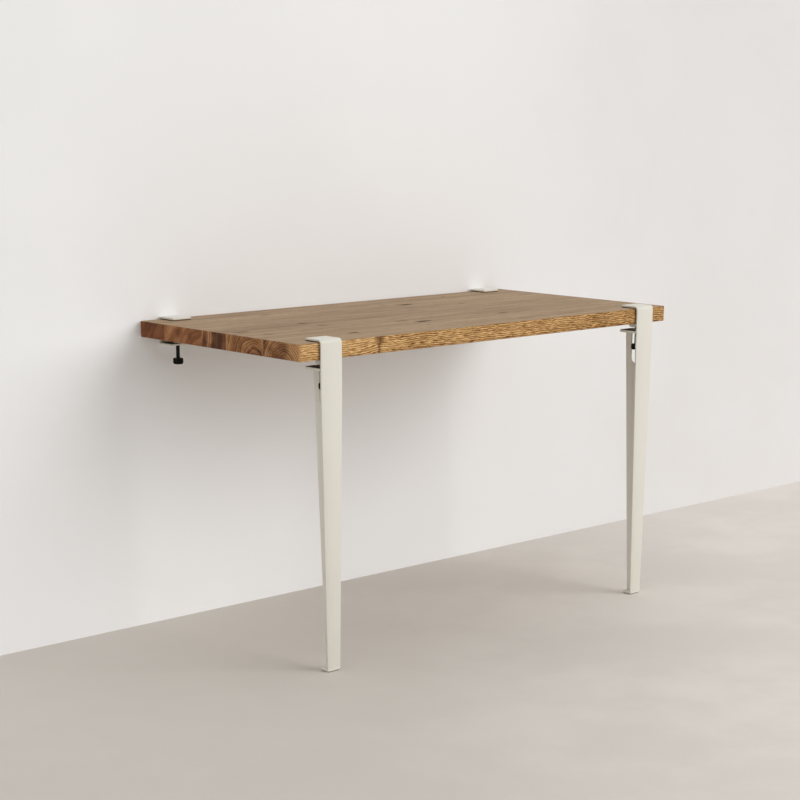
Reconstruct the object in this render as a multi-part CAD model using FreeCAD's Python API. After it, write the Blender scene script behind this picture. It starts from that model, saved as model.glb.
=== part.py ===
import FreeCAD, Part
import math
import os

# Wall-mounted desk: a solid board clamped between two steel legs in front and two wall brackets behind.
# Millimetres. X runs along the wall, Y points into the wall, Z is up.
# The origin is the middle of the four wall screw holes, on the wall's face.

# Board
TOP_LENGTH = 1200.0
TOP_DEPTH = 600.0
TOP_THICKNESS = 38.0
TOP_HEIGHT = 746.0
TOP_ARRIS_R = 2.0
STAVE_WIDTH_SHARES = (0.162, 0.247, 0.167, 0.213, 0.211)

# Steel sheet, and how far in from each end of the board the leg and the wall bracket are centred
SHEET = 4.0
SIDE_INSET = 82.5

# Wall bracket: one strip bent to a C
BRACKET_WIDTH = 54.0
BRACKET_EDGE_GAP = 1.0
BRACKET_TAB_REACH = 60.0
BRACKET_FLANGE_REACH = 52.0
BRACKET_CORNER_R = 3.0
BRACKET_BEND_R = 2.0
BRACKET_SCREW_REACH = 38.0
WALL_HOLE_R = 2.75
WALL_HOLE_SINK_R = 5.25
WALL_HOLE_SPACING_Z = 26.0
WALL_HOLES_DROP = 28.0

# Leg: front plate with its tab
LEG_TOP_WIDTH = 59.0
LEG_FOOT_WIDTH = 36.6
LEG_TAPER_DROP = 105.0
LEG_EDGE_GAP = 3.0
LEG_TAB_REACH = 55.0
LEG_TAB_CORNER_R = 4.0
LEG_SCREW_REACH = 26.5

# Leg: shelf, rib, foot and glide
SHELF_DROP = 18.0
SHELF_THICKNESS = 6.0
SHELF_REACH = 60.0
SHELF_CORNER_R = 8.0
RIB_THICKNESS = 4.0
RIB_TOP_REACH = 60.0
RIB_FOOT_REACH = 27.0
SLOT_WIDTH = 28.0
SLOT_LENGTH = 80.0
FOOT_WIDTH = 38.6
FOOT_DEPTH = 28.6
FOOT_THICKNESS = 5.0
FOOT_CORNER_R = 5.0
GLIDE_THICKNESS = 2.0
GLIDE_INSET = 2.5

# Leg: liner in the gap in front of the board
LINER_SIDE_INSET = 2.0
LINER_END_INSET = 3.0

# Liner between each tab and the board
TAB_LINER_THICKNESS = 2.0
TAB_LINER_INSET = 1.0

# Clamp screw
SCREW_R = 4.9
SCREW_RUNNING_CLEARANCE = 0.05
SCREW_SHOULDER_GAP = 0.3
SCREW_SHOULDER_CHAMFER = 0.8
TIP_HEAD_R = 3.5
TIP_HEAD_HEIGHT = 3.2
TIP_NECK_R = 2.8
TIP_PLAY = 0.3

# Threaded bush pressed into the shelf or the flange
BUSH_BODY_R = 7.0
BUSH_FLANGE_R = 9.0
BUSH_FLANGE_HEIGHT = 2.0

# Pressure pad
PAD_R = 19.0
PAD_HEIGHT = 10.0
PAD_CHAMFER = 0.7
PAD_LIP_HEIGHT = 1.2

# Knob
KNOB_R = 12.5
KNOB_HEIGHT = 14.0
KNOB_DROP = 54.0
KNOB_TOP_CHAMFER = 1.2
KNOB_BOTTOM_CHAMFER = 2.2
KNOB_FLOOR = 3.0

# Levels and planes that follow from the sizes above, with heights counted from the floor
BOARD_UNDERSIDE = TOP_HEIGHT - TOP_THICKNESS
SHELF_TOP = BOARD_UNDERSIDE - SHELF_DROP
SHELF_UNDERSIDE = SHELF_TOP - SHELF_THICKNESS
FLANGE_UNDERSIDE = SHELF_TOP - SHEET
TAB_UNDERSIDE = TOP_HEIGHT + TAB_LINER_THICKNESS
TAB_TOP = TAB_UNDERSIDE + SHEET
HOLES_HEIGHT = TOP_HEIGHT - WALL_HOLES_DROP
FLOOR_Z = -HOLES_HEIGHT
WALL_GAP = SHEET + BRACKET_EDGE_GAP
BOARD_REAR_Y = -WALL_GAP
BOARD_FRONT_Y = BOARD_REAR_Y - TOP_DEPTH
LEG_INNER_Y = BOARD_FRONT_Y - LEG_EDGE_GAP
LEG_OUTER_Y = LEG_INNER_Y - SHEET
FOOT_TOP = GLIDE_THICKNESS + FOOT_THICKNESS
LEG_TAPER_HEIGHT = TOP_HEIGHT - LEG_TAPER_DROP
SLOT_BOTTOM = SHELF_UNDERSIDE - SLOT_LENGTH
KNOB_TOP = BOARD_UNDERSIDE - KNOB_DROP
SIDE_X = TOP_LENGTH / 2 - SIDE_INSET
SIDES = (("left", -SIDE_X), ("right", SIDE_X))

UP = FreeCAD.Vector(0, 0, 1)
ALONG = FreeCAD.Vector(1, 0, 0)
DEEP = FreeCAD.Vector(0, 1, 0)


def level(height):
    """Z of a height over the floor."""
    return FLOOR_Z + height


def block(x_low, y_low, z_low, x_high, y_high, z_high):
    """Box between two opposite corners."""
    corner = FreeCAD.Vector(x_low, y_low, z_low)
    return Part.makeBox(x_high - x_low, y_high - y_low, z_high - z_low, corner)


def drum(x, y, z_low, z_high, radius):
    """Upright cylinder."""
    return Part.makeCylinder(radius, z_high - z_low, FreeCAD.Vector(x, y, z_low), UP)


def corner_arc(centre_y, centre_z, radius, turn_from, turn_to):
    """Quarter bend in the YZ plane between two angles in degrees."""
    points = []
    for turn in (turn_from, (turn_from + turn_to) / 2, turn_to):
        rad = math.radians(turn)
        points.append(FreeCAD.Vector(0, centre_y + radius * math.cos(rad), centre_z + radius * math.sin(rad)))
    return Part.Arc(*points).toShape()


def section_yz(pieces):
    """Face in the YZ plane from a chain of points and bends, closed with straight lines."""
    edges = []
    first = None
    last = None
    for piece in pieces:
        if isinstance(piece, tuple):
            start = end = FreeCAD.Vector(0, piece[0], piece[1])
            edge = None
        else:
            edge = piece
            start = edge.valueAt(edge.FirstParameter)
            end = edge.valueAt(edge.LastParameter)
        if last is None:
            first = start
        elif not last.isEqual(start, 1e-7):
            edges.append(Part.makeLine(last, start))
        if edge is not None:
            edges.append(edge)
        last = end
    if not last.isEqual(first, 1e-7):
        edges.append(Part.makeLine(last, first))
    return Part.Face(Part.Wire(Part.__sortEdges__(edges)))


def slab_yz(face, centre_x, width):
    """Section in the YZ plane given a width along X, centred on a plane."""
    solid = face.extrude(ALONG * width)
    solid.translate(ALONG * (centre_x - width / 2))
    return solid


def prism(points, direction):
    """Flat polygon pushed along a vector."""
    return Part.Face(Part.makePolygon(points + [points[0]])).extrude(direction)


def plate_flat(centre_x, width, y_low, y_high, z_low, z_high, radius, rounded_edge):
    """Flat plate with its upright corners rounded at the front, the rear or both."""
    solid = block(centre_x - width / 2, y_low, z_low, centre_x + width / 2, y_high, z_high)
    chosen = []
    for edge in solid.Edges:
        ends = [vertex.Point for vertex in edge.Vertexes]
        upright = abs(ends[0].z - ends[1].z) > (z_high - z_low) / 2
        at_rear = abs(ends[0].y - y_high) < 1e-6
        if upright and (rounded_edge == "both" or (rounded_edge == "rear") == at_rear):
            chosen.append(edge)
    return solid.makeFillet(radius, chosen)


def turned(profile, x, y):
    """Solid of revolution about an upright axis from (radius, z) points."""
    points = [FreeCAD.Vector(x + radius, y, z) for radius, z in profile]
    face = Part.Face(Part.makePolygon(points + [points[0]]))
    return face.revolve(FreeCAD.Vector(x, y, 0), UP, 360)


def make_staves():
    """Board with eased edges, sawn into its glued staves from rear to front."""
    left = -TOP_LENGTH / 2
    board = block(left, BOARD_FRONT_Y, level(BOARD_UNDERSIDE), left + TOP_LENGTH, BOARD_REAR_Y, level(TOP_HEIGHT))
    board = board.makeFillet(TOP_ARRIS_R, board.Edges)
    staves = []
    rear = BOARD_REAR_Y
    for share in STAVE_WIDTH_SHARES:
        front = rear - TOP_DEPTH * share
        cutter = block(left - SHEET, front, level(BOARD_UNDERSIDE - SHEET), -left + SHEET, rear, level(TAB_TOP))
        staves.append(board.common(cutter))
        rear = front
    return staves


def make_leg_plate(x):
    """Tapered front plate with its tab bent back over the board."""
    inner_r = LEG_EDGE_GAP + TOP_ARRIS_R
    outer_r = inner_r + SHEET
    low = level(FOOT_TOP)
    under = level(TAB_UNDERSIDE)
    over = level(TAB_TOP)
    tab_end = LEG_OUTER_Y + LEG_TAB_REACH
    bend_y = LEG_INNER_Y + inner_r
    bend_z = under - inner_r
    face = section_yz([
        (LEG_OUTER_Y, low),
        corner_arc(bend_y, bend_z, outer_r, 180, 90),
        (tab_end, over),
        (tab_end, under),
        corner_arc(bend_y, bend_z, inner_r, 90, 180),
        (LEG_INNER_Y, low),
    ])
    plate = slab_yz(face, x, LEG_TOP_WIDTH)
    half_top = LEG_TOP_WIDTH / 2
    half_foot = LEG_FOOT_WIDTH / 2
    before = LEG_OUTER_Y - SHEET
    outline = [
        FreeCAD.Vector(x - half_foot, before, low),
        FreeCAD.Vector(x + half_foot, before, low),
        FreeCAD.Vector(x + half_top, before, level(LEG_TAPER_HEIGHT)),
        FreeCAD.Vector(x + half_top, before, over),
        FreeCAD.Vector(x - half_top, before, over),
        FreeCAD.Vector(x - half_top, before, level(LEG_TAPER_HEIGHT)),
    ]
    plate = plate.common(prism(outline, DEEP * (LEG_TAB_REACH + SHEET + SHEET)))
    plan = plate_flat(x, LEG_TOP_WIDTH, before, tab_end, low, over, LEG_TAB_CORNER_R, "rear")
    return plate.common(plan)


def make_leg_shelf(x, y):
    """Shelf plate behind the front plate, with the seat of the threaded bush."""
    shelf = plate_flat(
        x, LEG_TOP_WIDTH, LEG_INNER_Y, LEG_OUTER_Y + SHELF_REACH,
        level(SHELF_UNDERSIDE), level(SHELF_TOP), SHELF_CORNER_R, "rear",
    )
    return shelf.cut(drum(x, y, level(SHELF_UNDERSIDE - SHEET), level(SHELF_TOP + SHEET), BUSH_BODY_R))


def make_leg_rib(x, y):
    """Upright rib behind the plate, with the tall slot that the knob turns in."""
    points = [
        FreeCAD.Vector(x - RIB_THICKNESS / 2, LEG_INNER_Y, level(FOOT_TOP)),
        FreeCAD.Vector(x - RIB_THICKNESS / 2, LEG_OUTER_Y + RIB_FOOT_REACH, level(FOOT_TOP)),
        FreeCAD.Vector(x - RIB_THICKNESS / 2, LEG_OUTER_Y + RIB_TOP_REACH, level(SHELF_UNDERSIDE)),
        FreeCAD.Vector(x - RIB_THICKNESS / 2, LEG_INNER_Y, level(SHELF_UNDERSIDE)),
    ]
    rib = prism(points, ALONG * RIB_THICKNESS)
    half = SLOT_WIDTH / 2
    arc_height = SLOT_BOTTOM + half
    slot = block(
        x - RIB_THICKNESS, y - half, level(arc_height),
        x + RIB_THICKNESS, y + half, level(SHELF_TOP),
    )
    start = FreeCAD.Vector(x - RIB_THICKNESS, y, level(arc_height))
    slot = slot.fuse(Part.makeCylinder(half, RIB_THICKNESS + RIB_THICKNESS, start, ALONG))
    return rib.cut(slot)


def make_foot(x):
    """Foot plate under the front plate and the rib."""
    front = LEG_OUTER_Y - (FOOT_WIDTH - LEG_FOOT_WIDTH) / 2
    return plate_flat(
        x, FOOT_WIDTH, front, front + FOOT_DEPTH,
        level(GLIDE_THICKNESS), level(FOOT_TOP), FOOT_CORNER_R, "both",
    )


def make_glide(x):
    """Soft pad between the foot plate and the floor."""
    front = LEG_OUTER_Y - (FOOT_WIDTH - LEG_FOOT_WIDTH) / 2
    return plate_flat(
        x, FOOT_WIDTH - 2 * GLIDE_INSET, front + GLIDE_INSET, front + FOOT_DEPTH - GLIDE_INSET,
        level(0), level(GLIDE_THICKNESS), FOOT_CORNER_R - GLIDE_INSET, "both",
    )


def make_liner(x):
    """Soft strip between the front plate and the board's front edge."""
    half = LEG_TOP_WIDTH / 2 - LINER_SIDE_INSET
    return block(
        x - half, LEG_INNER_Y, level(BOARD_UNDERSIDE + LINER_END_INSET),
        x + half, BOARD_FRONT_Y, level(TOP_HEIGHT - LEG_EDGE_GAP - LINER_END_INSET),
    )


def make_tab_liner(x, tab_width, front, rear):
    """Soft strip between a tab and the board's upper face."""
    half = tab_width / 2 - TAB_LINER_INSET
    return block(x - half, front, level(TOP_HEIGHT), x + half, rear, level(TAB_UNDERSIDE))


def make_bracket(x, y):
    """Strip bent to a C, with two countersunk wall holes and the seat of the threaded bush."""
    inner_r = BRACKET_BEND_R
    outer_r = inner_r + SHEET
    bend_y = -outer_r
    top_bend_z = level(TAB_UNDERSIDE) - inner_r
    low_bend_z = level(SHELF_TOP) + inner_r
    face = section_yz([
        (-BRACKET_TAB_REACH, level(TAB_UNDERSIDE)),
        (-BRACKET_TAB_REACH, level(TAB_TOP)),
        corner_arc(bend_y, top_bend_z, outer_r, 90, 0),
        corner_arc(bend_y, low_bend_z, outer_r, 0, -90),
        (-BRACKET_FLANGE_REACH, level(FLANGE_UNDERSIDE)),
        (-BRACKET_FLANGE_REACH, level(SHELF_TOP)),
        corner_arc(bend_y, low_bend_z, inner_r, -90, 0),
        corner_arc(bend_y, top_bend_z, inner_r, 0, 90),
    ])
    strip = slab_yz(face, x, BRACKET_WIDTH)
    tab_plan = plate_flat(
        x, BRACKET_WIDTH, -BRACKET_TAB_REACH, SHEET,
        level(BOARD_UNDERSIDE), level(TAB_TOP), BRACKET_CORNER_R, "front",
    )
    flange_plan = plate_flat(
        x, BRACKET_WIDTH, -BRACKET_FLANGE_REACH, SHEET,
        level(FLANGE_UNDERSIDE), level(BOARD_UNDERSIDE), BRACKET_CORNER_R, "front",
    )
    strip = strip.common(tab_plan.fuse(flange_plan))
    strip = strip.cut(drum(x, y, level(FLANGE_UNDERSIDE - SHEET), level(SHELF_TOP + SHEET), BUSH_BODY_R))
    sink_depth = WALL_HOLE_SINK_R - WALL_HOLE_R
    for side in (-1, 1):
        z = side * WALL_HOLE_SPACING_Z / 2
        mouth = FreeCAD.Vector(x, -SHEET, z)
        strip = strip.cut(Part.makeCylinder(WALL_HOLE_R, SHEET, mouth, DEEP))
        strip = strip.cut(Part.makeCone(WALL_HOLE_SINK_R, WALL_HOLE_R, sink_depth, mouth, DEEP))
    return strip.removeSplitter()


def make_bush(x, y, underside):
    """Threaded bush, pressed in from above with its flange on the steel and flush below it."""
    low = level(underside)
    seat = level(SHELF_TOP)
    top = seat + BUSH_FLANGE_HEIGHT
    bore = SCREW_R + SCREW_RUNNING_CLEARANCE
    return turned([
        (bore, low),
        (BUSH_BODY_R, low),
        (BUSH_BODY_R, seat),
        (BUSH_FLANGE_R, seat),
        (BUSH_FLANGE_R, top),
        (bore, top),
    ], x, y)


def make_screw(x, y):
    """Clamp screw from the knob's socket up to its headed tip inside the pad."""
    low = level(KNOB_TOP - KNOB_HEIGHT + KNOB_FLOOR)
    shoulder = level(BOARD_UNDERSIDE - PAD_HEIGHT) - SCREW_SHOULDER_GAP
    head_low = level(BOARD_UNDERSIDE - PAD_HEIGHT) + PAD_LIP_HEIGHT + TIP_PLAY
    head_top = head_low + TIP_HEAD_HEIGHT
    return turned([
        (0, low),
        (SCREW_R, low),
        (SCREW_R, shoulder - SCREW_SHOULDER_CHAMFER),
        (SCREW_R - SCREW_SHOULDER_CHAMFER, shoulder),
        (TIP_NECK_R, shoulder),
        (TIP_NECK_R, head_low),
        (TIP_HEAD_R, head_low),
        (TIP_HEAD_R, head_top),
        (0, head_top),
    ], x, y)


def make_pad(x, y):
    """Round pressure pad, swaged over the head of the screw's tip."""
    low = level(BOARD_UNDERSIDE - PAD_HEIGHT)
    top = level(BOARD_UNDERSIDE)
    lip = low + PAD_LIP_HEIGHT
    roof = lip + TIP_PLAY + TIP_HEAD_HEIGHT + TIP_PLAY
    return turned([
        (TIP_NECK_R + SCREW_RUNNING_CLEARANCE, low),
        (PAD_R - PAD_CHAMFER, low),
        (PAD_R, low + PAD_CHAMFER),
        (PAD_R, top),
        (0, top),
        (0, roof),
        (TIP_HEAD_R + SCREW_RUNNING_CLEARANCE, roof),
        (TIP_HEAD_R + SCREW_RUNNING_CLEARANCE, lip),
        (TIP_NECK_R + SCREW_RUNNING_CLEARANCE, lip),
    ], x, y)


def make_knob(x, y):
    """Round knob, pressed on the screw's lower end."""
    top = level(KNOB_TOP)
    low = top - KNOB_HEIGHT
    return turned([
        (0, low),
        (KNOB_R - KNOB_BOTTOM_CHAMFER, low),
        (KNOB_R, low + KNOB_BOTTOM_CHAMFER),
        (KNOB_R, top - KNOB_TOP_CHAMFER),
        (KNOB_R - KNOB_TOP_CHAMFER, top),
        (SCREW_R, top),
        (SCREW_R, low + KNOB_FLOOR),
        (0, low + KNOB_FLOOR),
    ], x, y)


def make_clamp(x, y, underside):
    """Screw, knob, pad and bush that share one upright axis, in steel with the given underside."""
    return {
        "bush": make_bush(x, y, underside),
        "screw": make_screw(x, y),
        "knob": make_knob(x, y),
        "pad": make_pad(x, y),
    }


nodes = {}
for name, stave in zip(("rear", "second", "third", "fourth", "front"), make_staves()):
    nodes["stave_" + name] = stave
for side, x in SIDES:
    leg_screw_y = LEG_OUTER_Y + LEG_SCREW_REACH
    nodes[side + "_leg_plate"] = make_leg_plate(x)
    nodes[side + "_leg_shelf"] = make_leg_shelf(x, leg_screw_y)
    nodes[side + "_leg_rib"] = make_leg_rib(x, leg_screw_y)
    nodes[side + "_leg_foot"] = make_foot(x)
    nodes[side + "_leg_glide"] = make_glide(x)
    nodes[side + "_leg_liner"] = make_liner(x)
    nodes[side + "_leg_tab_liner"] = make_tab_liner(
        x, LEG_TOP_WIDTH, BOARD_FRONT_Y + TOP_ARRIS_R, LEG_OUTER_Y + LEG_TAB_REACH - TAB_LINER_INSET,
    )
    for piece, solid in make_clamp(x, leg_screw_y, SHELF_UNDERSIDE).items():
        nodes[side + "_leg_" + piece] = solid
    nodes[side + "_bracket_strip"] = make_bracket(x, -BRACKET_SCREW_REACH)
    nodes[side + "_bracket_tab_liner"] = make_tab_liner(
        x, BRACKET_WIDTH, TAB_LINER_INSET - BRACKET_TAB_REACH, BOARD_REAR_Y - TOP_ARRIS_R,
    )
    for piece, solid in make_clamp(x, -BRACKET_SCREW_REACH, FLANGE_UNDERSIDE).items():
        nodes[side + "_bracket_" + piece] = solid

os.makedirs("parts", exist_ok=True)
for name, shape in nodes.items():
    solid = shape.Solids[0]
    solid.exportStep(os.path.join("parts", name + ".step"))
    bounds = solid.BoundBox
    print(name, solid.ShapeType, len(solid.Solids), solid.isValid(), round(solid.Volume),
          [round(v, 2) for v in (bounds.XMin, bounds.YMin, bounds.ZMin, bounds.XMax, bounds.YMax, bounds.ZMax)])
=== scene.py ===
import math

import bmesh
import bpy
from mathutils import Matrix, Vector


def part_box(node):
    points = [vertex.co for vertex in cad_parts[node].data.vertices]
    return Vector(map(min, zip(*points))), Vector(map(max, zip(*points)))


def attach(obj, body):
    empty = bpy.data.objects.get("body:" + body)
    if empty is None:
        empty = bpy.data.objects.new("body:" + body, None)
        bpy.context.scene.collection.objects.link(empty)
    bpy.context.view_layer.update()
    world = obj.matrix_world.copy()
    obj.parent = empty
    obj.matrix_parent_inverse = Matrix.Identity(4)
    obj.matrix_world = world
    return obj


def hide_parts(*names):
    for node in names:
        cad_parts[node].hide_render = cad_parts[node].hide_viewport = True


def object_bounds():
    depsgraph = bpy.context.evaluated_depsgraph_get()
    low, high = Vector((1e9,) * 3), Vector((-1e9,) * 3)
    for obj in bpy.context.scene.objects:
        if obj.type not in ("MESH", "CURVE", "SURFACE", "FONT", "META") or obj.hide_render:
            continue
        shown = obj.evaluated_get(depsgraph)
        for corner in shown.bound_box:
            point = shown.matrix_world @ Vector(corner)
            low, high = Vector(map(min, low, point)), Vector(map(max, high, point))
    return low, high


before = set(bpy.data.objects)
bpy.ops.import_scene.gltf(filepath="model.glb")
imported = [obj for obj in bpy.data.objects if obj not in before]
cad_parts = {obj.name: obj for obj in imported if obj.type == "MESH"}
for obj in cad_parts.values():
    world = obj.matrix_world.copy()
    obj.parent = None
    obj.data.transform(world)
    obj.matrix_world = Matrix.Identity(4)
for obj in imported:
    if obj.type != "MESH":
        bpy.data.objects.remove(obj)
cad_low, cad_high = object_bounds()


# Board: five staves of brushed, oiled oak, glued edge to edge into one top 1200 x 600 x 38 mm.
# Each stave was sawn round its own pith, so its end shows other rings, and dark knots break the top.

class Wire:
    """A socket in a node tree. Sums on wires add the Math nodes that work them out."""

    def __init__(self, tree, socket):
        self.tree = tree
        self.socket = socket

    def node(self, kind, settings, feeds, output=0):
        """Adds a node of any kind, sets it up, feeds it and returns one of its outputs."""
        made = self.tree.nodes.new(kind)
        for name, value in settings.items():
            if name == "stops":
                elements = made.color_ramp.elements
                elements[0].position, elements[0].color = value[0]
                elements[-1].position, elements[-1].color = value[-1]
                for position, colour in value[1:-1]:
                    elements.new(position).color = colour
            else:
                setattr(made, name, value)
        for name, value in feeds.items():
            if isinstance(value, Wire):
                self.tree.links.new(value.socket, made.inputs[name])
            else:
                made.inputs[name].default_value = value
        return Wire(self.tree, made.outputs[output])

    def into(self, socket):
        """Feeds a socket of a node that is already there."""
        self.tree.links.new(self.socket, socket)

    def __add__(self, other):
        return self.node("ShaderNodeMath", {"operation": "ADD"}, {0: self, 1: other})

    __radd__ = __add__

    def __sub__(self, other):
        return self.node("ShaderNodeMath", {"operation": "SUBTRACT"}, {0: self, 1: other})

    def __rsub__(self, other):
        return self.node("ShaderNodeMath", {"operation": "SUBTRACT"}, {0: other, 1: self})

    def __mul__(self, other):
        return self.node("ShaderNodeMath", {"operation": "MULTIPLY"}, {0: self, 1: other})

    __rmul__ = __mul__


def tone(red, green, blue):
    """Colour of a paint card given in steps from 0 to 255."""
    steps = []
    for step in (red, green, blue):
        share = step / 255
        steps.append(share / 12.92 if share <= 0.04045 else ((share + 0.055) / 1.055) ** 2.4)
    return (*steps, 1.0)


def start_finish(name, constants):
    """New finish with what is the same all over it. Returns it, its shader and the place on the piece."""
    material = bpy.data.materials.new(name)
    material.use_nodes = True
    shader = material.node_tree.nodes["Principled BSDF"]
    for socket, value in constants.items():
        shader.inputs[socket].default_value = value
    coordinates = material.node_tree.nodes.new("ShaderNodeTexCoord")
    return material, shader, Wire(material.node_tree, coordinates.outputs["Object"])


def axis(place, number):
    """One coordinate of a place in metres."""
    return place.node("ShaderNodeSeparateXYZ", {}, {0: place}, output=number)


def size_of(value):
    """A number without its sign."""
    return value.node("ShaderNodeMath", {"operation": "ABSOLUTE"}, {0: value})


def larger(one, other):
    """The larger of two numbers."""
    return one.node("ShaderNodeMath", {"operation": "MAXIMUM"}, {0: one, 1: other})


def distance(place, middle, stretch):
    """Length of the way from a middle to a place, with each axis stretched."""
    way = place.node("ShaderNodeVectorMath", {"operation": "SUBTRACT"}, {0: place, 1: middle})
    way = way.node("ShaderNodeVectorMath", {"operation": "MULTIPLY"}, {0: way, 1: stretch})
    return way.node("ShaderNodeVectorMath", {"operation": "LENGTH"}, {0: way}, output=1)


def cloud(place, stretch, detail, seed, roughness=0.5):
    """Soft noise from 0 to 1, with its cycles per metre on each axis."""
    shift = (seed * 1.7, seed * 2.9, seed * 4.3)
    moved = place.node("ShaderNodeVectorMath", {"operation": "MULTIPLY_ADD"}, {
        0: place, 1: stretch, 2: shift,
    })
    return moved.node("ShaderNodeTexNoise", {}, {
        "Vector": moved, "Scale": 1.0, "Detail": detail, "Roughness": roughness,
    })


def rise(value, low, high):
    """0 before low, 1 after high, smooth between."""
    return value.node("ShaderNodeMapRange", {"interpolation_type": "SMOOTHSTEP"}, {
        "Value": value, "From Min": low, "From Max": high,
    })


def bands(value, period):
    """Waves from 0 to 1 with the given spacing."""
    turn = value * (2 * math.pi / period)
    return turn.node("ShaderNodeMath", {"operation": "SINE"}, {0: turn}) * 0.5 + 0.5


def ramp(value, stops):
    """Colours along a number."""
    return value.node("ShaderNodeValToRGB", {"stops": stops}, {0: value})


def blend(base, over, share):
    """Two colours mixed by a number."""
    return share.node("ShaderNodeMix", {"data_type": "RGBA"}, {0: share, 6: base, 7: over}, output=2)


def between(base, over, share):
    """Two numbers mixed by a third."""
    return base + (over - base) * share


def emboss(shader, relief, strength, depth):
    """Fine relief of a finish, whose full height is depth in metres."""
    bump = relief.node("ShaderNodeBump", {}, {"Strength": strength, "Distance": depth, "Height": relief})
    bump.into(shader.inputs["Normal"])


# Each stave: rear and front edge, pith of its rings, tones of its end, tint of its face and its knots.
# A knot is given by its middle on the top, its length, width and depth of colour, and a stripe of the
# end by its place, reach and change of tone.
STAVES = {
    "stave_rear": dict(
        edges=(-0.005, -0.1022), pith=(0.045, 0.085), ring=0.0060, ring_depth=0.35, seed=11.3,
        end=((90, 49, 25), (122, 72, 40), (146, 92, 56)), tint=0.44,
        knots=((-0.299, -0.098, 0.020, 0.008, 0.75), (0.335, -0.060, 0.012, 0.006, 0.6)),
    ),
    "stave_second": dict(
        edges=(-0.1022, -0.2504), pith=(-0.300, -0.115), ring=0.0066, ring_depth=0.38, seed=23.1,
        end=((112, 65, 35), (150, 97, 58), (190, 136, 90)), tint=0.54,
        knots=(
            (0.119, -0.148, 0.034, 0.012, 1.0), (0.061, -0.128, 0.016, 0.007, 0.4),
            (0.241, -0.227, 0.017, 0.008, 0.45), (-0.440, -0.190, 0.010, 0.005, 0.3),
        ),
        stripes=((-0.226, 0.022, 0.03),),
    ),
    "stave_third": dict(
        edges=(-0.2504, -0.3506), pith=(-0.105, 0.030), ring=0.0105, ring_depth=0.60, seed=37.9,
        end=((80, 46, 26), (130, 83, 50), (186, 134, 88)), tint=0.42,
        knots=((-0.560, -0.343, 0.030, 0.008, 0.85), (-0.343, -0.297, 0.018, 0.008, 0.8)),
        stripes=(
            (-0.303, 0.024, -0.10), (-0.347, 0.007, 0.14), (-0.266, 0.014, -0.05), (-0.252, 0.004, 0.08),
        ),
    ),
    "stave_fourth": dict(
        edges=(-0.3506, -0.4784), pith=(-0.446, -0.025), ring=0.0068, ring_depth=0.66, seed=41.7,
        end=((72, 39, 19), (144, 95, 54), (192, 140, 90)), tint=0.5,
        knots=(
            (-0.100, -0.453, 0.034, 0.012, 1.0), (-0.132, -0.416, 0.028, 0.005, 0.8),
            (0.173, -0.446, 0.026, 0.008, 0.9), (-0.333, -0.359, 0.020, 0.007, 0.7),
            (-0.536, -0.413, 0.022, 0.008, 0.4),
        ),
        stripes=((-0.374, 0.018, 0.04),),
    ),
    "stave_front": dict(
        edges=(-0.4784, -0.605), pith=(-0.553, -0.027), ring=0.0064, ring_depth=0.68, seed=59.2,
        end=((66, 37, 20), (138, 92, 54), (198, 148, 98)), tint=0.58,
        knots=(
            (-0.375, -0.518, 0.022, 0.010, 0.95), (-0.268, -0.509, 0.014, 0.005, 0.4),
            (-0.136, -0.509, 0.014, 0.005, 0.4), (0.129, -0.572, 0.040, 0.004, 0.5),
            (0.430, -0.530, 0.016, 0.005, 0.35),
        ),
        stripes=((-0.590, 0.035, 0.08), (-0.528, 0.034, -0.035)),
    ),
}
FACE_TONES = ((114, 86, 57), (163, 134, 99), (191, 163, 125))
EDGE_TONES = ((92, 51, 14), (171, 127, 72), (232, 192, 134))
KNOT_TONE = tone(54, 30, 12)
SPLIT_TONE = tone(54, 28, 8)
EDGE_KNOT_TONE = tone(108, 66, 22)
PORE_TONE = tone(86, 58, 36)
END_PORE_TONE = tone(62, 40, 26)
KNOT_LEVEL = 0.02
SPLIT_X = -0.373


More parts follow.
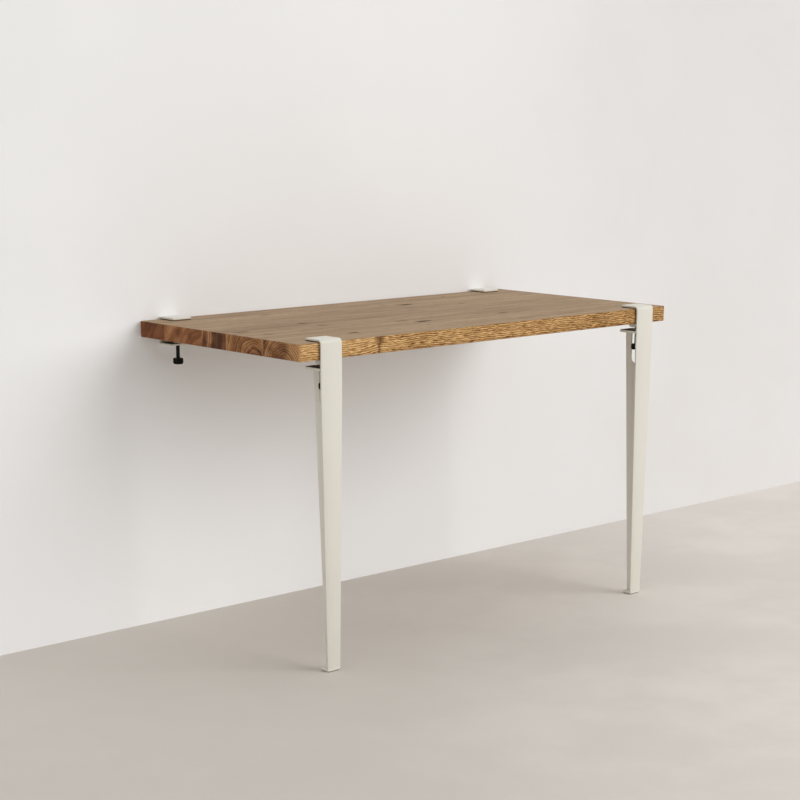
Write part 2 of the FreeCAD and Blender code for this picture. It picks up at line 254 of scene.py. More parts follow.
def oak(name, edges, pith, ring, ring_depth, seed, end, tint, knots, stripes=()):
    """Finish of one stave: streaks on its faces, rough lines on its long edge and rings on its end."""
    material, shader, place = start_finish(name, {"IOR": 1.45, "Specular IOR Level": 0.28})
    along, across, up = axis(place, 0), axis(place, 1), axis(place, 2)

    # Knots darken the top and push the grain aside
    dark = None
    lane = across
    for knot_x, knot_y, length, width, depth in knots:
        gap = distance(place, (knot_x, knot_y, KNOT_LEVEL), (1 / length, 1 / width, 14.0))
        rough_gap = gap + (cloud(place, (90, 260, 90), 3.0, seed + knot_x) - 0.5) * 1.1
        spot = rise(rough_gap, 1.00, 0.42) * depth
        dark = spot if dark is None else larger(dark, spot)
        lane = lane - (across - knot_y) * rise(gap, 3.6, 0.7) * 0.62

    # Top and underside
    drift = cloud(place, (1.3, 9.0, 4.0), 2.0, seed) - 0.5
    lane = lane + drift * 0.03 + (cloud(place, (6.0, 40.0, 10.0), 2.0, seed + 5) - 0.5) * 0.004
    lane_place = place.node("ShaderNodeCombineXYZ", {}, {0: along, 1: lane, 2: up * 0.3})
    broad = cloud(lane_place, (1.6, 42.0, 1.0), 3.0, seed + 2)
    streaks = cloud(lane_place, (7.0, 310.0, 1.0), 5.0, seed + 3, 0.62)
    fine = cloud(lane_place, (30.0, 1500.0, 1.0), 2.0, seed + 4)
    arches = bands(lane, 0.0105) * rise(cloud(place, (2.0, 14.0, 1.0), 1.0, seed + 8), 0.35, 0.75)
    face_level = broad * 0.24 + streaks * 0.60 + fine * 0.16 + arches * 0.10 + (tint - 0.5) * 0.24 - 0.02
    face = ramp(face_level, (
        (0.32, tone(*FACE_TONES[0])), (0.50, tone(*FACE_TONES[1])), (0.68, tone(*FACE_TONES[2])),
    ))
    flecks = rise(cloud(lane_place, (26.0, 300.0, 1.0), 2.0, seed + 7), 0.57, 0.70)
    pores = rise(cloud(lane_place, (75.0, 2400.0, 1.0), 1.0, seed + 6), 0.63, 0.74)
    face = blend(face, PORE_TONE, larger(pores * 0.38, flecks * 0.46))

    # Long edge: short wavy lines that stand proud where the soft wood was brushed out, and a split knot
    # on the front that widens upwards
    split_gap = size_of(along - SPLIT_X + (cloud(place, (1.0, 1.0, 70.0), 2.0, 4.0) - 0.5) * 0.030)
    knot_width = rise(up, -0.006, 0.030) * 0.0165 + 0.0020
    knot_reach = rise(split_gap, 0.050, 0.004)
    wave = up + (cloud(place, (17.0, 1.0, 30.0), 2.0, seed + 9) - 0.5) * 0.0085
    wave = wave + (cloud(place, (60.0, 1.0, 110.0), 2.0, seed + 10) - 0.5) * 0.0056 - knot_reach * 0.0052
    lines = bands(wave, 0.0046)
    dashes = cloud(place.node("ShaderNodeCombineXYZ", {}, {0: along, 1: across, 2: wave}), (
        52.0, 1.0, 430.0,
    ), 4.0, seed + 12, 0.66)
    patches = cloud(place, (16.0, 1.0, 60.0), 2.0, seed + 13)
    edge_level = lines * 0.20 + dashes * 1.04 + patches * 0.18 - 0.16
    # Painted shade: towards its right end the edge is painted darker, which tones down the lamp's stronger
    # light there. The edge is also a little paler at its far left end and a little darker towards its bottom.
    edge_level = edge_level - rise(along, -0.42, -0.30) * 0.05 - rise(along, 0.10, 0.60) * 0.03
    edge_level = edge_level - rise(up, 0.000, -0.010) * 0.06
    edge = ramp(edge_level, (
        (0.30, tone(*EDGE_TONES[0])), (0.48, tone(*EDGE_TONES[1])), (0.70, tone(*EDGE_TONES[2])),
    ))
    split = rise(split_gap, 0.0034, 0.0006) * rise(patches, 0.30, 0.50)
    front_share = rise(across, -0.55, -0.58)
    fan = rise(split_gap + (dashes - 0.5) * 0.024, knot_width * 1.3, knot_width * 0.3)
    edge_spot = split * front_share * 0.45
    edge = blend(edge, EDGE_KNOT_TONE, fan * front_share * 0.78)
    edge = blend(edge, SPLIT_TONE, edge_spot)

    # End: rings round the pith, pores between them, broad stripes and a paler strip along the front arris
    radius = distance(place, (0.0, *pith), (0.0, 1.0, 1.0))
    radius = radius + (cloud(place, (2.0, 34.0, 34.0), 2.0, seed + 14) - 0.5) * 0.011
    radius = radius + (cloud(place, (2.0, 210.0, 210.0), 2.0, seed + 20) - 0.5) * 0.0020
    years = place.node("ShaderNodeCombineXYZ", {}, {0: radius, 1: across * 0.05, 2: up * 0.05})
    pace = cloud(years, (0.42 / ring, 60.0, 60.0), 2.0, seed + 18)
    rings = rise(bands(radius + pace * ring * 2.2, ring), 0.64, 0.97)
    speckle = cloud(place, (4.0, 1100.0, 1100.0), 2.0, seed + 15)
    blotch = cloud(place, (3.0, 26.0, 40.0), 3.0, seed + 16)
    end_level = pace * 0.46 + blotch * 0.34 + speckle * 0.12 + 0.04
    for stripe_y, reach, change in stripes:
        stripe_gap = size_of(across - stripe_y + (blotch - 0.5) * 0.01)
        end_level = end_level + rise(stripe_gap, reach, reach * 0.5) * change
    end_face = ramp(end_level, ((0.38, tone(*end[0])), (0.48, tone(*end[1])), (0.60, tone(*end[2]))))
    end_face = blend(end_face, tone(*end[0]), rings * ring_depth)
    end_pores = rise(cloud(place, (3.0, 1500.0, 1500.0), 1.0, seed + 17), 0.64, 0.72) * (1 - rings)
    end_face = blend(end_face, END_PORE_TONE, end_pores * 0.5)
    end_face = blend(end_face, tone(*EDGE_TONES[2]), rise(across, -0.598, -0.604) * 0.45)

    # Which way the surface faces says which of the three shows
    facing = place.node("ShaderNodeTexCoord", {}, {}, output=1)
    end_share = rise(size_of(axis(facing, 0)), 0.60, 0.80)
    edge_share = rise(size_of(axis(facing, 1)), 0.55, 0.80)

    # Glue lines
    nearest = size_of(across - sum(edges) / 2)
    inner_reach = abs(edges[0] - edges[1]) / 2
    seam = rise(nearest, inner_reach - 0.0007, inner_reach - 0.0001)
    outer = {"stave_rear": rise(across, -0.03, -0.01), "stave_front": rise(across, -0.58, -0.60)}
    if name in outer:
        seam = seam * (1 - outer[name])

    face = blend(face, KNOT_TONE, dark)
    wood = blend(blend(face, edge, edge_share), end_face, end_share)
    wood = blend(wood, SPLIT_TONE, seam * 0.42)
    wood.into(shader.inputs["Base Color"])

    face_dullness = 0.46 + (1 - face_level) * 0.16 + pores * 0.15 + dark * 0.25
    edge_dullness = 0.74 - edge_level * 0.12 + edge_spot * 0.15
    dullness = between(face_dullness, edge_dullness, edge_share) + end_share * 0.14
    dullness.into(shader.inputs["Roughness"])

    face_relief = streaks * 0.5 + fine * 0.25 - pores * 0.8 - dark * 0.9
    edge_relief = lines * 1.5 + dashes * 1.6 - edge_spot * 2.0
    end_relief = rings * 0.5 + speckle * 0.5 - end_pores * 1.0
    relief = between(between(face_relief, edge_relief, edge_share), end_relief, end_share) - seam * 1.2
    emboss(shader, relief, 0.55, 0.00042)
    return material


def wear(node, material):
    """Gives a CAD node its finish."""
    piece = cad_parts[node]
    piece.data.materials.clear()
    piece.data.materials.append(material)


for stave, facts in STAVES.items():
    wear(stave, oak(stave, **facts))


# Leg and bracket steel: sheet 4 to 6 mm thick, cut out, folded, welded and powder coated. The coat
# rounds every cut edge a little and has a faint orange peel. The shelf's and the bracket flange's upper
# faces are painted dark, as painted shade for the deep shade under the board.

COAT_TONE = (229, 226, 216)
COAT_EDGE = 0.00045
# Painted shade: dark tones for the upper faces of the shelf and the bracket flange, which lie in the board's
# shade.
GAP_SHADE_TONES = (tone(56, 46, 38), tone(74, 64, 54))


def near_tone(card, red, green, blue):
    """Colour a few steps off a paint card."""
    return tone(card[0] + red, card[1] + green, card[2] + blue)


def powder_coat(name, seed, shaded_level):
    """Warm white satin coat. A face that looks up at the shaded level is painted dark, as painted shade."""
    material, shader, place = start_finish(name, {"IOR": 1.5, "Specular IOR Level": 0.32})
    mottle = cloud(place, (7.0, 7.0, 7.0), 2.0, seed)
    peel = cloud(place, (620.0, 620.0, 620.0), 2.0, seed + 1)
    grit = cloud(place, (2600.0, 2600.0, 2600.0), 1.0, seed + 2)
    base = ramp(mottle * 0.7 + peel * 0.3, (
        (0.25, near_tone(COAT_TONE, -2, -2, -3)), (0.75, near_tone(COAT_TONE, 2, 2, 2)),
    ))
    dust = rise(cloud(place, (55.0, 55.0, 55.0), 4.0, seed + 3, 0.7), 0.60, 0.80)
    base = blend(base, near_tone(COAT_TONE, -18, -19, -22), dust * 0.10)
    # Painted shade: faces that look up at the shaded level, under the board, take the dark tones.
    facing_up = axis(place.node("ShaderNodeTexCoord", {}, {}, output=1), 2)
    off_level = size_of(axis(place, 2) - shaded_level)
    painted_shade_mask = rise(facing_up, 0.80, 0.95) * rise(off_level, 0.0010, 0.0006)
    shade_ramp = ramp(mottle * 0.5 + dust * 0.5, ((0.2, GAP_SHADE_TONES[0]), (0.7, GAP_SHADE_TONES[1])))
    blend(base, shade_ramp, painted_shade_mask).into(shader.inputs["Base Color"])
    (0.40 + mottle * 0.10 + grit * 0.06).into(shader.inputs["Roughness"])
    emboss(shader, peel + grit * 0.35, 0.35, 0.00006)
    return material


def shade(mesh, degrees):
    """Smooth shading that stays crisp where faces meet at more than an angle."""
    form = bmesh.new()
    form.from_mesh(mesh)
    for edge in form.edges:
        edge.smooth = len(edge.link_faces) == 2 and edge.calc_face_angle(0.0) < math.radians(degrees)
    for face in form.faces:
        face.smooth = True
    form.to_mesh(mesh)
    form.free()


def stand_in(node, body, material, radius):
    """Copy of a CAD node with its sharp edges rounded, which stands for the node."""
    form = bmesh.new()
    form.from_mesh(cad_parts[node].data)
    form.transform(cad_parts[node].matrix_world)
    bmesh.ops.remove_doubles(form, verts=form.verts, dist=0.00001)
    bmesh.ops.dissolve_limit(
        form, angle_limit=math.radians(0.5), verts=form.verts, edges=form.edges,
        use_dissolve_boundaries=False,
    )
    mesh = bpy.data.meshes.new(node + "_form")
    form.to_mesh(mesh)
    form.free()
    mesh.materials.append(material)
    piece = bpy.data.objects.new(node + "_form", mesh)
    bpy.context.scene.collection.objects.link(piece)
    bevel = piece.modifiers.new("edges", "BEVEL")
    bevel.width = radius
    bevel.segments = 2
    bevel.limit_method = "ANGLE"
    bevel.angle_limit = math.radians(32)
    bevel.miter_outer = "MITER_ARC"
    bevel.harden_normals = False
    settled = bpy.data.meshes.new_from_object(piece.evaluated_get(bpy.context.evaluated_depsgraph_get()))
    piece.modifiers.clear()
    piece.data = settled
    shade(settled, 34)
    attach(piece, body)
    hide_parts(node)
    return piece


coat = powder_coat("powder_coat", 3.0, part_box("left_leg_shelf")[1][2])
for side in ("left", "right"):
    for part in ("plate", "shelf", "rib", "foot"):
        stand_in(side + "_leg_" + part, "desk", coat, COAT_EDGE)
    stand_in(side + "_bracket_strip", "desk", coat, COAT_EDGE)


# Weld beads: the rib, the shelf and the foot are welded on the back of each leg under the coat.
# A bead is a small rippled fillet that follows the joint.

def open_pattern(name, inputs):
    """Geometry tree with named inputs. Returns it and a wire from each input."""
    tree = bpy.data.node_groups.new(name, "GeometryNodeTree")
    tree.interface.new_socket("Geometry", in_out="INPUT", socket_type="NodeSocketGeometry")
    for label, kind in inputs.items():
        tree.interface.new_socket(label, in_out="INPUT", socket_type=kind)
    tree.interface.new_socket("Geometry", in_out="OUTPUT", socket_type="NodeSocketGeometry")
    source = tree.nodes.new("NodeGroupInput")
    return tree, {label: Wire(tree, source.outputs[label]) for label in ("Geometry", *inputs)}


def close_pattern(shape, material):
    """Ends a tree in real faces with their finish."""
    smooth = shape.node("GeometryNodeSetShadeSmooth", {}, {"Geometry": shape})
    real = smooth.node("GeometryNodeRealizeInstances", {}, {"Geometry": smooth})
    coated = real.node("GeometryNodeSetMaterial", {}, {"Geometry": real, "Material": material})
    sink = shape.tree.nodes.new("NodeGroupOutput")
    coated.into(sink.inputs["Geometry"])


def grow(piece, tree, values):
    """Runs a tree on a piece and keeps what it makes as a plain mesh."""
    modifier = piece.modifiers.new("growth", "NODES")
    modifier.node_group = tree
    for socket in tree.interface.items_tree:
        if socket.in_out == "INPUT" and socket.name in values:
            modifier[socket.identifier] = values[socket.name]
    grown = bpy.data.meshes.new_from_object(piece.evaluated_get(bpy.context.evaluated_depsgraph_get()))
    piece.modifiers.remove(modifier)
    piece.data = grown


def new_piece(name, points, links, faces):
    """Piece from plain points."""
    mesh = bpy.data.meshes.new(name)
    mesh.from_pydata(points, links, faces)
    piece = bpy.data.objects.new(name, mesh)
    bpy.context.scene.collection.objects.link(piece)
    return piece


bead_tree, bead = open_pattern("weld_bead", {
    "Radius": "NodeSocketFloat", "Ripple": "NodeSocketFloat", "Ripple Length": "NodeSocketFloat",
    "Material": "NodeSocketMaterial",
})
seam_line = bead["Geometry"].node("GeometryNodeMeshToCurve", {}, {"Mesh": bead["Geometry"]})
steps = seam_line.node("GeometryNodeResampleCurve", {"mode": "LENGTH"}, {
    "Curve": seam_line, "Length": bead["Ripple Length"] * 0.25,
})
run = steps.node("GeometryNodeSplineParameter", {}, {}, output=1)
ripples = run.node("ShaderNodeMath", {"operation": "DIVIDE"}, {0: run, 1: bead["Ripple Length"]})
phase = ripples * (2 * math.pi)
swell = phase.node("ShaderNodeMath", {"operation": "SINE"}, {0: phase}) * bead["Ripple"] + 1.0
section = steps.node("GeometryNodeCurvePrimitiveCircle", {}, {"Resolution": 10, "Radius": bead["Radius"]})
body_of_bead = steps.node("GeometryNodeCurveToMesh", {}, {
    "Curve": steps, "Profile Curve": section, "Scale": swell, "Fill Caps": True,
})
close_pattern(body_of_bead, bead["Material"])

BEAD_R = 0.0016
BEAD_RIPPLE = 0.10
BEAD_RIPPLE_LENGTH = 0.0028
BEAD_INSET = 0.003


def weld(side):
    """All beads of one leg in one piece."""
    low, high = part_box(side + "_leg_rib")
    shelf_low, shelf_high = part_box(side + "_leg_shelf")
    inner = low[1]
    shelf_left = shelf_low[0] + BEAD_INSET
    shelf_right = shelf_high[0] - BEAD_INSET
    stops = (
        ((low[0], inner, low[2]), (low[0], inner, high[2])),
        ((high[0], inner, low[2]), (high[0], inner, high[2])),
        ((shelf_left, inner, shelf_low[2]), (low[0], inner, shelf_low[2])),
        ((high[0], inner, shelf_low[2]), (shelf_right, inner, shelf_low[2])),
        ((shelf_left, inner, shelf_high[2]), (shelf_right, inner, shelf_high[2])),
    )
    points = [point for line in stops for point in line]
    links = [(2 * index, 2 * index + 1) for index in range(len(stops))]
    piece = new_piece(side + "_leg_weld", points, links, [])
    grow(piece, bead_tree, {
        "Radius": BEAD_R, "Ripple": BEAD_RIPPLE, "Ripple Length": BEAD_RIPPLE_LENGTH, "Material": coat,
    })
    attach(piece, "desk")


weld("left")
weld("right")


# Liner: strips of foam rubber glued under each tab and in the gap before the board's front edge, so
# that the steel doesn't mark the wood. It is black on the legs and brown under the brackets' tabs.

def rubber(name, shade_tone, grain, seed):
    """Matt rubber with a fine skin and paler scuffs."""
    material, shader, place = start_finish(name, {"IOR": 1.5, "Specular IOR Level": 0.3})
    skin = cloud(place, (grain, grain, grain), 3.0, seed, 0.6)
    scuff = rise(cloud(place, (60.0, 60.0, 60.0), 3.0, seed + 1), 0.55, 0.75)
    base = ramp(skin, ((0.3, near_tone(shade_tone, -8, -8, -8)), (0.7, near_tone(shade_tone, 6, 6, 6))))
    blend(base, near_tone(shade_tone, 26, 25, 23), scuff * 0.25).into(shader.inputs["Base Color"])
    (0.72 + skin * 0.16).into(shader.inputs["Roughness"])
    emboss(shader, skin, 0.5, 0.0001)
    return material


foam = rubber("foam_rubber", (26, 23, 21), 900.0, 7.0)
thin_foam = rubber("thin_foam_rubber", (78, 66, 54), 900.0, 7.5)
for side in ("left", "right"):
    wear(side + "_leg_liner", foam)
    wear(side + "_leg_tab_liner", foam)
    wear(side + "_bracket_tab_liner", thin_foam)


# Glide: black rubber pad under the foot plate. It is cut from sheet, glued on and set a little inside
# the plate's edge, so that the steel doesn't scratch what the leg stands on.

glide_rubber = rubber("glide_rubber", (22, 19, 17), 1400.0, 8.0)
for side in ("left", "right"):
    stand_in(side + "_leg_glide", "desk", glide_rubber, 0.0006)


# Clamp bush: turned steel, zinc plated. It is pressed into the shelf or the bracket with its flange on
# top, and carries the clamp screw's thread.

def smaller(one, other):
    """The smaller of two numbers."""
    return one.node("ShaderNodeMath", {"operation": "MINIMUM"}, {0: one, 1: other})


def turned_steel(name, base_tone, dullness, axes_xy, seed, constants):
    """Plated steel with the faint rings of the lathe round the nearest clamp axis."""
    material, shader, place = start_finish(name, constants)
    gap = None
    for axis_x, axis_y in axes_xy:
        reach = distance(place, (axis_x, axis_y, 0.0), (1.0, 1.0, 0.0))
        gap = reach if gap is None else smaller(gap, reach)
    lathe = bands(gap + axis(place, 2) * 0.7, 0.00042)
    patina = cloud(place, (130.0, 130.0, 130.0), 3.0, seed, 0.6)
    base = ramp(patina, (
        (0.3, near_tone(base_tone, -16, -16, -15)), (0.7, near_tone(base_tone, 10, 10, 10)),
    ))
    base.into(shader.inputs["Base Color"])
    (dullness + patina * 0.14).into(shader.inputs["Roughness"])
    relief = lathe * 0.6 + cloud(place, (1500.0, 1500.0, 1500.0), 1.0, seed + 1) * 0.4
    emboss(shader, relief, 0.3, 0.00005)
    return material


CLAMPS = ("left_leg", "right_leg", "left_bracket", "right_bracket")
clamp_axes = []
for clamp in CLAMPS:
    low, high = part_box(clamp + "_knob")
    clamp_axes.append(((low[0] + high[0]) / 2, (low[1] + high[1]) / 2))
zinc = turned_steel("zinc_plate", (172, 170, 164), 0.26, clamp_axes, 5.0, {"Metallic": 1.0})
for clamp in CLAMPS:
    stand_in(clamp + "_bush", "desk", zinc, 0.0003)


# Clamp screw: M10 steel, blackened, with a turned neck and a head that the pad is swaged over.
# The thread runs from the knob to the shoulder below the neck.

THREAD_PITCH = 0.0015
THREAD_DEPTH = 0.0008
THREAD_SEGMENTS = 40
SCREW_SEGMENTS = 40
SHOULDER_PLAY = 0.0003
NECK_R = 0.0028
HEAD_R = 0.0035
HEAD_RISE = 0.0015

thread_tree, thread = open_pattern("screw_thread", {
    "Start": "NodeSocketVector", "Turns": "NodeSocketFloat", "Height": "NodeSocketFloat",
    "Radius": "NodeSocketFloat", "Depth": "NodeSocketFloat", "Material": "NodeSocketMaterial",
})
helix = thread["Turns"].node("GeometryNodeCurveSpiral", {}, {
    "Resolution": THREAD_SEGMENTS, "Rotations": thread["Turns"], "Start Radius": thread["Radius"],
    "End Radius": thread["Radius"], "Height": thread["Height"],
})
upright = helix.node("GeometryNodeSetCurveNormal", {"mode": "Z_UP"}, {"Curve": helix})
ridge_section = upright.node("GeometryNodeCurvePrimitiveCircle", {}, {
    "Resolution": 3, "Radius": thread["Depth"],
})
ridge = upright.node("GeometryNodeCurveToMesh", {}, {
    "Curve": upright, "Profile Curve": ridge_section, "Fill Caps": True,
})
placed_ridge = ridge.node("GeometryNodeTransform", {}, {"Geometry": ridge, "Translation": thread["Start"]})
both = placed_ridge.node("GeometryNodeJoinGeometry", {}, {"Geometry": placed_ridge})
thread["Geometry"].into(both.socket.node.inputs["Geometry"])
close_pattern(both, thread["Material"])


def turned(name, profile, axis_x, axis_y, segments):
    """Closed solid turned from radius and height pairs that start and end on the axis."""
    points = []
    rows = []
    for radius, height in profile:
        if radius == 0:
            rows.append([len(points)] * segments)
            points.append((axis_x, axis_y, height))
            continue
        rows.append(list(range(len(points), len(points) + segments)))
        for step in range(segments):
            turn = 2 * math.pi * step / segments
            points.append((axis_x + radius * math.cos(turn), axis_y + radius * math.sin(turn), height))
    faces = []
    for lower, upper in zip(rows, rows[1:]):
        for step in range(segments):
            ahead = (step + 1) % segments
            corners = [lower[step], lower[ahead], upper[ahead], upper[step]]
            faces.append(list(dict.fromkeys(corners)))
    return new_piece(name, points, [], faces)


black_oxide = turned_steel("black_oxide", (30, 23, 19), 0.40, clamp_axes, 6.0, {
    "Metallic": 0.1, "Specular IOR Level": 0.15,
})
for clamp, (axis_x, axis_y) in zip(CLAMPS, clamp_axes):
    low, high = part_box(clamp + "_screw")
    pad_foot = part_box(clamp + "_pad")[0][2]
    knob_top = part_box(clamp + "_knob")[1][2]
    crest = (high[0] - low[0]) / 2
    core = crest - THREAD_DEPTH
    shoulder = pad_foot - SHOULDER_PLAY
    head = pad_foot + HEAD_RISE
    piece = turned(clamp + "_screw_form", (
        (0, low[2]), (core, low[2]), (core, shoulder - 0.0016), (crest - 0.0003, shoulder - 0.0012),
        (crest - 0.0003, shoulder - 0.0005), (crest - 0.0008, shoulder), (NECK_R, shoulder), (NECK_R, head),
        (HEAD_R - 0.0003, head), (HEAD_R, head + 0.0003), (HEAD_R, high[2] - 0.0004),
        (HEAD_R - 0.0004, high[2]), (0, high[2]),
    ), axis_x, axis_y, SCREW_SEGMENTS)
    start = knob_top - 0.0012
    turns = math.floor((shoulder - 0.0022 - start) / THREAD_PITCH)
    grow(piece, thread_tree, {
        "Start": (axis_x, axis_y, start), "Turns": float(turns), "Height": turns * THREAD_PITCH,
        "Radius": core, "Depth": THREAD_DEPTH, "Material": black_oxide,
    })
    shade(piece.data, 35)
    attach(piece, clamp + "_screw_body")
    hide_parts(clamp + "_screw")


# Knob: moulded black plastic with fine upright ribs for the grip. It is pressed on the screw's lower
# end, and its underside has a shallow dish.

def moulded_plastic(name, seed):
    """Black plastic with a spark-eroded grain."""
    material, shader, place = start_finish(name, {"IOR": 1.46, "Specular IOR Level": 0.14})
    grain = cloud(place, (2100.0, 2100.0, 2100.0), 2.0, seed)
    rub = rise(cloud(place, (140.0, 140.0, 140.0), 3.0, seed + 1), 0.5, 0.75)
    base = ramp(grain, ((0.3, tone(16, 13, 11)), (0.7, tone(25, 21, 19))))
    blend(base, tone(46, 41, 38), rub * 0.3).into(shader.inputs["Base Color"])
    (0.50 + grain * 0.12 - rub * 0.10).into(shader.inputs["Roughness"])
    emboss(shader, grain, 0.4, 0.00006)
    return material


GRIP_DEPTH = 0.0005
GRIP_HALF_HEIGHT = 0.0049
GRIP_COUNT = 44
KNOB_SEGMENTS = 2 * GRIP_COUNT
DISH_R = 0.0060
COLLAR_R = 0.0078
BORE_R = 0.0050

grip_tree, grip = open_pattern("grip_ribs", {
    "Middle": "NodeSocketVector", "Count": "NodeSocketInt", "Ring": "NodeSocketFloat",
    "Rib": "NodeSocketVector", "Material": "NodeSocketMaterial",
})
ring = grip["Count"].node("GeometryNodeMeshCircle", {}, {"Vertices": grip["Count"], "Radius": grip["Ring"]})
pip = ring.node("GeometryNodeMeshUVSphere", {}, {"Segments": 8, "Rings": 8, "Radius": 1.0})
rib_row = ring.node("GeometryNodeInstanceOnPoints", {}, {
    "Points": ring, "Instance": pip, "Scale": grip["Rib"],
})
placed_row = rib_row.node("GeometryNodeTransform", {}, {"Geometry": rib_row, "Translation": grip["Middle"]})
knob_form = placed_row.node("GeometryNodeJoinGeometry", {}, {"Geometry": placed_row})
grip["Geometry"].into(knob_form.socket.node.inputs["Geometry"])
close_pattern(knob_form, grip["Material"])

plastic = moulded_plastic("knob_plastic", 9.0)
for clamp, (axis_x, axis_y) in zip(CLAMPS, clamp_axes):
    low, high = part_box(clamp + "_knob")
    reach = (high[0] - low[0]) / 2
    side_r = reach - GRIP_DEPTH
    piece = turned(clamp + "_knob_form", (
        (0, low[2] + 0.0006), (DISH_R, low[2] + 0.0006), (DISH_R + 0.0006, low[2]), (side_r - 0.0022, low[2]),
        (side_r - 0.0017, low[2] + 0.0002), (side_r - 0.0002, low[2] + 0.0018), (side_r, low[2] + 0.0024),
        (side_r, high[2] - 0.0016), (side_r - 0.0003, high[2] - 0.0008), (side_r - 0.0013, high[2]),
        (COLLAR_R, high[2]), (COLLAR_R - 0.0006, high[2] - 0.0004), (BORE_R, high[2] - 0.0004),
        (BORE_R, low[2] + 0.0030), (0, low[2] + 0.0030),
    ), axis_x, axis_y, KNOB_SEGMENTS)
    grow(piece, grip_tree, {
        "Middle": (axis_x, axis_y, (low[2] + high[2]) / 2 + 0.0004), "Count": GRIP_COUNT,
        "Ring": side_r - 0.00005, "Rib": (GRIP_DEPTH, GRIP_DEPTH, GRIP_HALF_HEIGHT), "Material": plastic,
    })
    shade(piece.data, 40)
    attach(piece, clamp + "_screw_body")
    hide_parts(clamp + "_knob")


# Pad: turned and plated steel disc. It is swaged over the screw's head, turns freely on it and presses
# up against the board's underside.

pad_steel = turned_steel("pad_steel", (214, 209, 202), 0.34, clamp_axes, 12.0, {"Metallic": 0.6})
for clamp in CLAMPS:
    stand_in(clamp + "_pad", clamp + "_pad_body", pad_steel, 0.0004)


# Stage: a pale floor that the legs stand on. Floor and backdrop show from the desk's side only, so they
# don't hide its back and underside.

STAGE_REACH = 9.0


def plain(name, left_tone, right_tone, turning, constants):
    """Matt finish for what isn't part of the desk. Its colour changes from left to right, as painted light
    and shade.
    """
    material, shader, place = start_finish(name, {
        "Roughness": 0.85, "Specular IOR Level": 0.15, **constants,
    })
    mottle = cloud(place, (2.2, 2.2, 2.2), 5.0, 2.0, 0.6)
    sideways = axis(place, 0) * 0.74 - axis(place, 1) * 0.67
    base = blend(tone(*left_tone), tone(*right_tone), rise(sideways + (mottle - 0.5) * 0.3, *turning))
    base = blend(base, near_tone(left_tone, -10, -10, -10), rise(mottle, 0.62, 0.40) * 0.22)
    base.into(shader.inputs["Base Color"])
    surface = Wire(material.node_tree, shader.outputs[0])
    clear = surface.node("ShaderNodeBsdfTransparent", {}, {})
    behind = surface.node("ShaderNodeNewGeometry", {}, {}, output="Backfacing")
    one_sided = surface.node("ShaderNodeMixShader", {}, {0: behind, 1: surface, 2: clear})
    one_sided.into(material.node_tree.nodes["Material Output"].inputs["Surface"])
    return material


floor_z = cad_low[2]
floor = new_piece("floor", [
    (-STAGE_REACH, -STAGE_REACH, floor_z), (STAGE_REACH, -STAGE_REACH, floor_z),
    (STAGE_REACH, STAGE_REACH, floor_z), (-STAGE_REACH, STAGE_REACH, floor_z),
], [], [(0, 1, 2, 3)])
# Painted light: the floor is painted paler towards the right, a painted pool of the lamp's light.
floor.data.materials.append(plain("floor_paint", (213, 207, 200), (236, 231, 225), (-0.1, 1.2), {}))

# Stage: a pale backdrop half a millimetre behind the brackets' back plates. It takes the desk's shadow
# and isn't mirrored in the metal.

BACKDROP_Y = 0.0005
backdrop_top = floor_z + 6.0
backdrop = new_piece("backdrop", [
    (-STAGE_REACH, BACKDROP_Y, floor_z), (STAGE_REACH, BACKDROP_Y, floor_z),
    (STAGE_REACH, BACKDROP_Y, backdrop_top), (-STAGE_REACH, BACKDROP_Y, backdrop_top),
], [], [(0, 1, 2, 3)])
# Painted shade: the backdrop is painted darker towards the right, which evens out the lamp's stronger light
# there.
backdrop.data.materials.append(plain("backdrop_paint", (247, 247, 247), (228, 226, 225), (0.1, 1.1), {
    "Emission Color": (1.0, 1.0, 1.0, 1.0), "Emission Strength": 0.032,
}))
backdrop.visible_glossy = False
backdrop.visible_transmission = False

# Light: one large soft lamp far off at the front right, a little above the desk, and dim surroundings
# that glow more overhead, most of all at the upper left. Camera and mirroring rays see a plain pale
# tone there.

LAMP_DISTANCE = 23.0
LAMP_TARGET = Vector((0.0, -0.3, -0.1))
lamp_data = bpy.data.lights.new("key", "AREA")
lamp_data.shape = "SQUARE"
lamp_data.size = 15.0
lamp_data.energy = 2660.0
lamp_data.color = (1.0, 0.997, 0.993)
lamp = bpy.data.objects.new("key", lamp_data)
lamp_way = Vector((0.42, -0.78, 0.38)).normalized()
lamp.location = LAMP_TARGET + lamp_way * LAMP_DISTANCE
lamp.rotation_euler = lamp_way.to_track_quat("Z", "Y").to_euler()
bpy.context.scene.collection.objects.link(lamp)

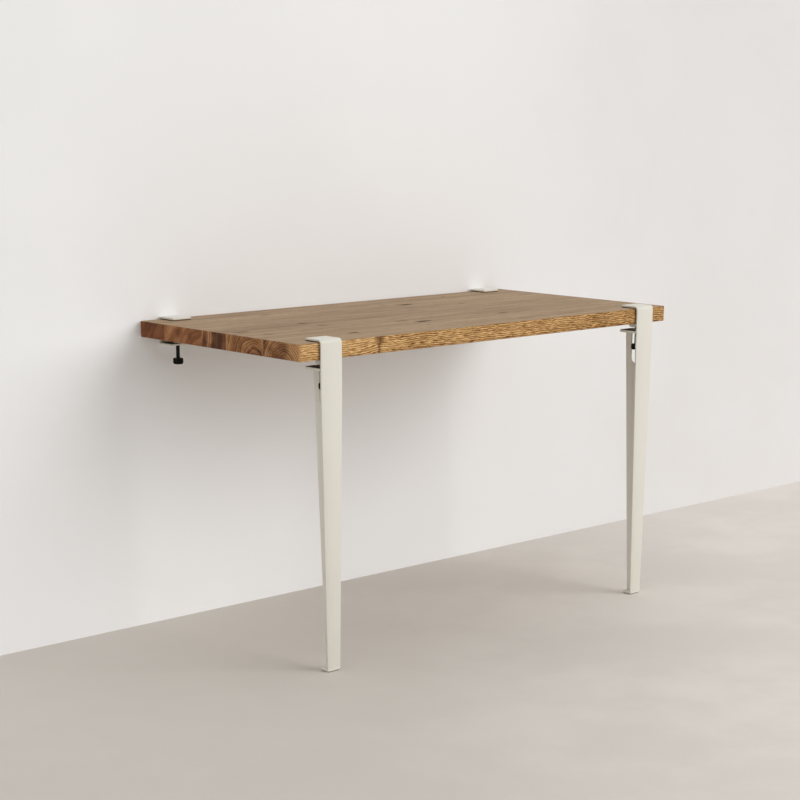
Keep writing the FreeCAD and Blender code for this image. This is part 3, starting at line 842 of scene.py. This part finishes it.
world = bpy.data.worlds.new("surroundings")
bpy.context.scene.world = world
world.use_nodes = True
background = world.node_tree.nodes["Background"]
seen = world.node_tree.nodes.new("ShaderNodeLightPath")
camera_ray, glossy_ray, clear_ray = (
    Wire(world.node_tree, seen.outputs[kind])
    for kind in ("Is Camera Ray", "Is Glossy Ray", "Is Transmission Ray")
)
shown = larger(larger(camera_ray, glossy_ray), clear_ray)
way = Wire(world.node_tree, world.node_tree.nodes.new("ShaderNodeTexCoord").outputs["Object"])
from_right = rise(axis(way, 0), -0.75, 0.15)
from_left = rise(axis(way, 0), 0.10, -0.60)
from_above = rise(axis(way, 2), 0.12, 0.55)
over_floor = rise(axis(way, 2), 0.0, 0.35)
glow = ramp(from_right * over_floor * 0.15 + from_above * 0.30 + from_above * from_left * 0.44, (
    (0.0, (0.250, 0.247, 0.244, 1.0)), (1.0, (0.93, 0.925, 0.915, 1.0)),
))
blend(glow, tone(230, 226, 223), shown).into(background.inputs["Color"])

# Camera: stands at the front left, half a metre above the board, and looks down with a long lens. The
# shift lifts the view, so that the desk is in the middle of the picture.

camera_data = bpy.data.cameras.new("camera")
camera_data.sensor_fit = "HORIZONTAL"
camera_data.sensor_width = 36.0
camera_data.lens = 82.594
camera_data.shift_x = 0.00016
camera_data.shift_y = 0.26558
camera_data.clip_start = 0.1
camera_data.clip_end = 100.0
camera = bpy.data.objects.new("camera", camera_data)
CAMERA_YAW = 0.733974
CAMERA_PITCH = 0.269874
CAMERA_ROLL = 0.001495
CAMERA_PLACE = (-3.076245, -3.670820, 0.522987)
forward = Vector((
    math.sin(CAMERA_YAW) * math.cos(CAMERA_PITCH), math.cos(CAMERA_YAW) * math.cos(CAMERA_PITCH),
    -math.sin(CAMERA_PITCH),
))
level_right = Vector((math.cos(CAMERA_YAW), -math.sin(CAMERA_YAW), 0.0))
level_up = level_right.cross(forward)
right = level_right * math.cos(CAMERA_ROLL) + level_up * math.sin(CAMERA_ROLL)
above = level_up * math.cos(CAMERA_ROLL) - level_right * math.sin(CAMERA_ROLL)
turn = Matrix((right, above, -forward)).transposed()
camera.matrix_world = Matrix.Translation(CAMERA_PLACE) @ turn.to_4x4()
bpy.context.scene.collection.objects.link(camera)
bpy.context.scene.camera = camera
bpy.context.scene.view_settings.view_transform = "Standard"
